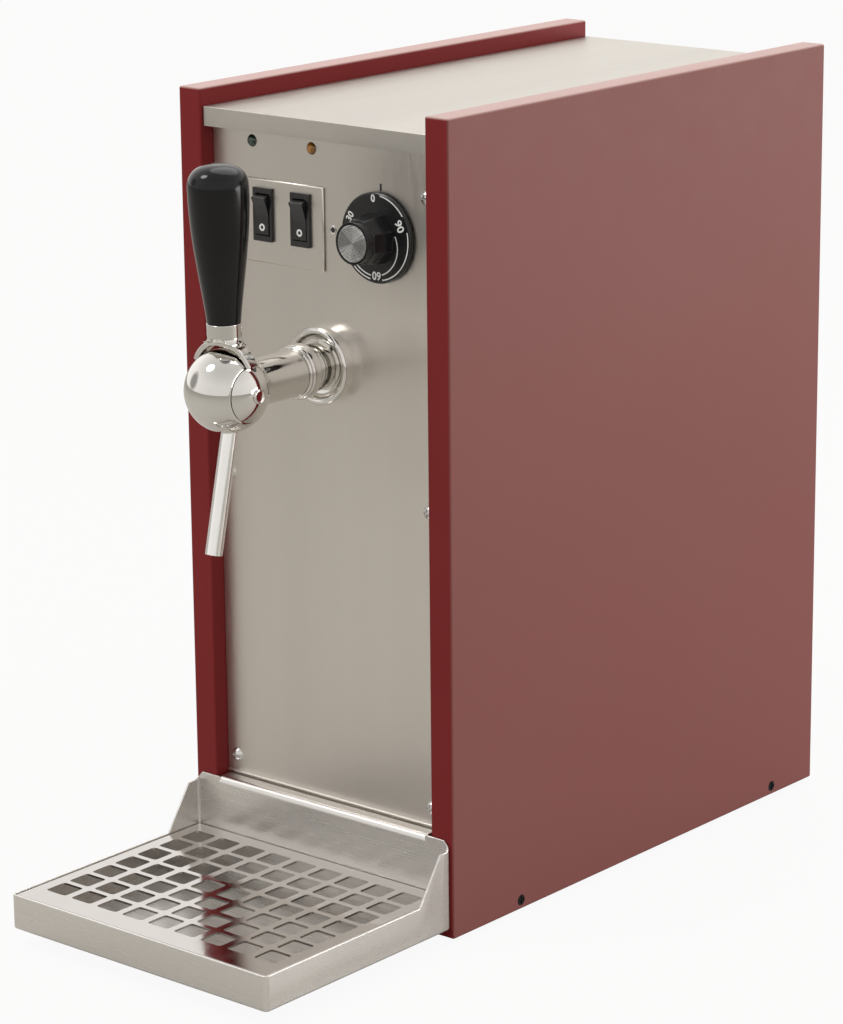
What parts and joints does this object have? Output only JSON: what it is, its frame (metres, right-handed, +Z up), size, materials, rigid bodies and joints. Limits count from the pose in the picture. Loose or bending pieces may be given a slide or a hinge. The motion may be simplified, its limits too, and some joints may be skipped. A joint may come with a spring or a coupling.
{
  "type": "mulled wine dispenser",
  "caption": "Narrow counter-top hot drink dispenser with burgundy side panels, a lever ball tap on a shank, rocker switches, a thermostat dial and a hook-on drip tray.",
  "frame": {"origin": "centre of the whole plan, from the drip tray's front to the inlet stem's end, on the surface the feet stand on", "axes": "+Z up, front with the tap towards -Y, +X to the right seen from the front"},
  "size_m": [0.195, 0.5304, 0.463],
  "materials": {
    "burgundy_panel": "satin powder coat",
    "stainless_panel": "brushed, grain level",
    "stainless_lid": "brushed",
    "stainless_tray": "satin, bright edges",
    "galvanised": "plain zinc",
    "foot_rubber": "matt",
    "zinc_screw": "bright zinc",
    "black_screw": "black oxide",
    "switch_black": "fine moulded texture",
    "knob_black": "polished moulding",
    "knob_aluminium": "spun",
    "lamp_green": "unlit lens",
    "lamp_amber": "unlit lens",
    "control_grey": "moulded",
    "tap_chrome": "mirror chrome",
    "spout_steel": "polished tube",
    "handle_black": "polished",
    "tank_steel": "plain mill finish",
    "sensor_brass": "plain",
    "terminal_cream": "moulded",
    "wire_grey": "insulated wire"
  },
  "bodies": {
    "cabinet": {"side_panel_left": "burgundy_panel", "side_panel_right": "burgundy_panel", "base_plate": "galvanised", "feet": "foot_rubber", "front_panel": "stainless_panel", "rear_panel": "stainless_lid", "top_cover": "stainless_lid", "front_panel_screws": "zinc_screw", "side_panel_screws": "black_screw", "rear_screws": "zinc_screw", "tray_rail": "stainless_tray", "switch_plate": "stainless_panel", "pump_switch_housing": "switch_black", "heater_switch_housing": "switch_black", "power_lamp": "lamp_green", "heating_lamp": "lamp_amber", "thermostat": "control_grey", "limiter": "control_grey", "sensor_bulb": "sensor_brass", "capillary_tube": "sensor_brass", "tap_body": "tap_chrome", "tap_shank": "tap_chrome", "shank_collar": "tap_chrome", "tap_rosette": "tap_chrome", "shank_lock_nut": "tap_chrome", "tap_spout": "spout_steel", "tank_stand": "galvanised", "heater_tank": "tank_steel", "tank_gasket": "foot_rubber", "tank_lid": "tank_steel", "tank_lid_bolts": "zinc_screw", "product_tube": "tank_steel", "heating_element": "tank_steel", "pump_housing": "control_grey", "pump_cover": "control_grey", "pump_motor": "galvanised", "inlet_tube": "tank_steel", "inlet_fitting": "tap_chrome", "terminal_block": "terminal_cream", "cable_gland": "control_grey", "wiring": "wire_grey"},
    "lever": {"lever_yoke": "tap_chrome", "lever_pivot": "tap_chrome", "lever_ferrule": "tap_chrome", "lever_stud": "zinc_screw", "lever_handle": "handle_black"},
    "valve": {"valve_plunger": "tap_chrome", "valve_seal": "foot_rubber"},
    "dial": {"dial_knob": "knob_black", "knob_cap": "knob_aluminium", "thermostat_spindle": "zinc_screw"},
    "pump_rocker": {"pump_switch_rocker": "switch_black"},
    "heater_rocker": {"heater_switch_rocker": "switch_black"},
    "reset_pin": {"limiter_reset_pin": "switch_black"},
    "tray": {"drip_tray": "stainless_tray"},
    "grid": {"drip_grid": "stainless_tray"},
    "impeller": {"pump_impeller": "tank_steel", "pump_shaft": "zinc_screw"}
  },
  "joints": [
    {"name": "lever_pull", "type": "hinge", "parent": "cabinet", "child": "lever", "pos_m": [0, -0.18235, 0.316], "axis": [1, 0, 0], "range_deg": [0, 50]},
    {"name": "valve_slide", "type": "slide", "parent": "cabinet", "child": "valve", "axis": [0, -1, 0], "range_m": [0, 0.0035]},
    {"name": "dial_turn", "type": "hinge", "parent": "cabinet", "child": "dial", "pos_m": [0.041, -0.11275, 0.392], "axis": [0, 1, 0], "range_deg": [0, 300]},
    {"name": "pump_switch_flip", "type": "hinge", "parent": "cabinet", "child": "pump_rocker", "pos_m": [-0.0424, -0.10395, 0.3954], "axis": [-1, 0, 0], "range_deg": [0, 20]},
    {"name": "heater_switch_flip", "type": "hinge", "parent": "cabinet", "child": "heater_rocker", "pos_m": [-0.0146, -0.10395, 0.3954], "axis": [-1, 0, 0], "range_deg": [0, 20]},
    {"name": "reset_press", "type": "slide", "parent": "cabinet", "child": "reset_pin", "axis": [0, 1, 0], "range_m": [0, 0.002], "stiffness_N_per_m": 300, "springref_m": -0.001},
    {"name": "tray_lift", "type": "slide", "parent": "cabinet", "child": "tray", "axis": [0, -0.5, 0.866], "range_m": [0, 0.06]},
    {"name": "grid_lift", "type": "slide", "parent": "tray", "child": "grid", "axis": [0, 0, 1], "range_m": [0, 0.06]},
    {"name": "impeller_spin", "type": "hinge", "parent": "cabinet", "child": "impeller", "pos_m": [0, 0.13975, 0.053], "axis": [0, 1, 0], "continuous": true}
  ],
  "couplings": [
    {"joint": "valve_slide", "follows": "lever_pull", "m_per_rad": 0.0039}
  ]
}
